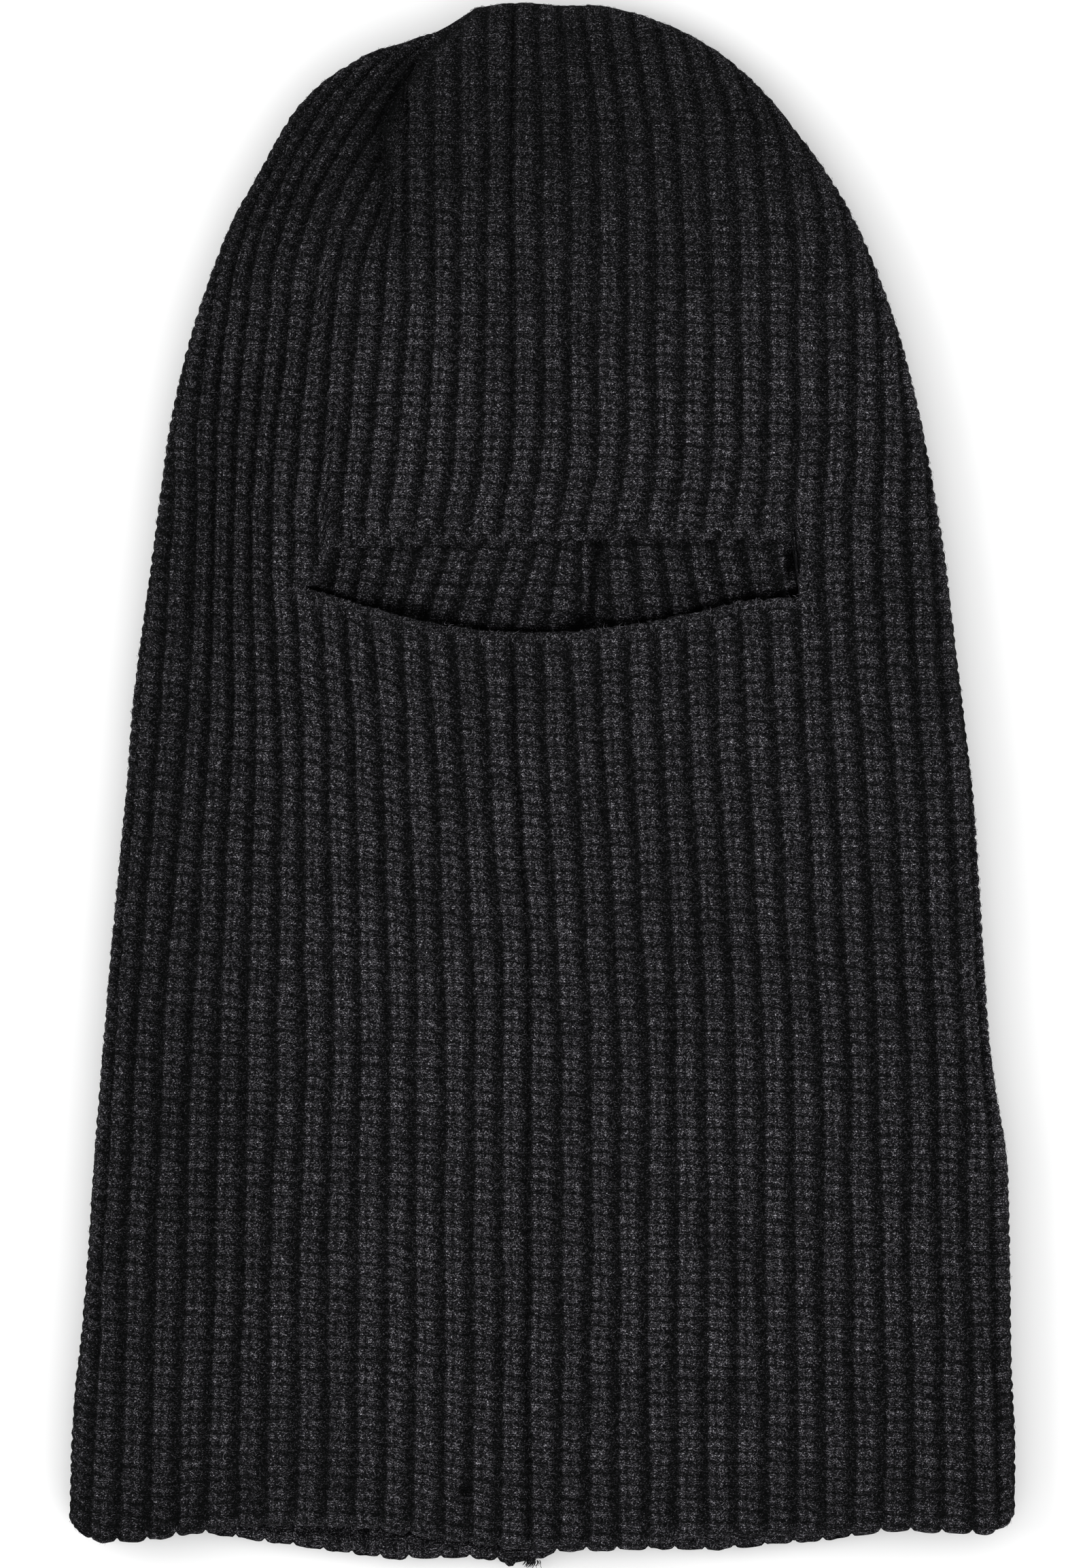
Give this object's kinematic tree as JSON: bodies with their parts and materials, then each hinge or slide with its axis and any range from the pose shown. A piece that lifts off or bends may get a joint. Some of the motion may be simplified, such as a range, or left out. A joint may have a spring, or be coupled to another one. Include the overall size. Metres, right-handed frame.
{
  "type": "knitted balaclava",
  "caption": "Chunky rib-knit balaclava lying flat, face opening up: gathered crown, wide eye slot with finished edges, long neck tube that turns up.",
  "frame": {"origin": "centre of the bounding box in plan, on the surface that the back of the garment lies on", "axes": "+Y up the garment from hem to crown, +Z out of its front, +X to the right as seen from above"},
  "size_m": [0.2434, 0.4036, 0.0178],
  "materials": {
    "charcoal_rib_knit": "fuzzy rib knit",
    "charcoal_edge_chain": "bound-off chain",
    "seam_yarn": "twisted yarn",
    "label_tape": "woven tape"
  },
  "bodies": {
    "head_part": {"crown_fold": "charcoal_rib_knit", "left_cheek_fold": "charcoal_rib_knit", "right_cheek_fold": "charcoal_rib_knit", "front_crown_panel": "charcoal_rib_knit", "front_face_panel": "charcoal_rib_knit", "brow_edge": "charcoal_edge_chain", "nose_edge": "charcoal_edge_chain", "left_corner_tack": "seam_yarn", "right_corner_tack": "seam_yarn", "back_head_left": "charcoal_rib_knit", "back_head_right": "charcoal_rib_knit", "head_back_seam": "seam_yarn", "crown_tuck": "charcoal_rib_knit", "crown_closing_seam": "seam_yarn"},
    "neck_part": {"left_neck_fold": "charcoal_rib_knit", "right_neck_fold": "charcoal_rib_knit", "neck_front_panel": "charcoal_rib_knit", "front_hem_edge": "charcoal_edge_chain", "neck_back_left": "charcoal_rib_knit", "neck_back_right": "charcoal_rib_knit", "neck_back_seam": "seam_yarn", "back_hem_edge": "charcoal_edge_chain", "seam_yarn_tails": "seam_yarn", "care_label": "label_tape", "label_stitches": "seam_yarn"}
  },
  "joints": [
    {"name": "neck_fold", "type": "hinge", "parent": "head_part", "child": "neck_part", "pos_m": [0, -0.0892, 0.0181], "axis": [-1, 0, 0], "range_deg": [0, 178]}
  ]
}
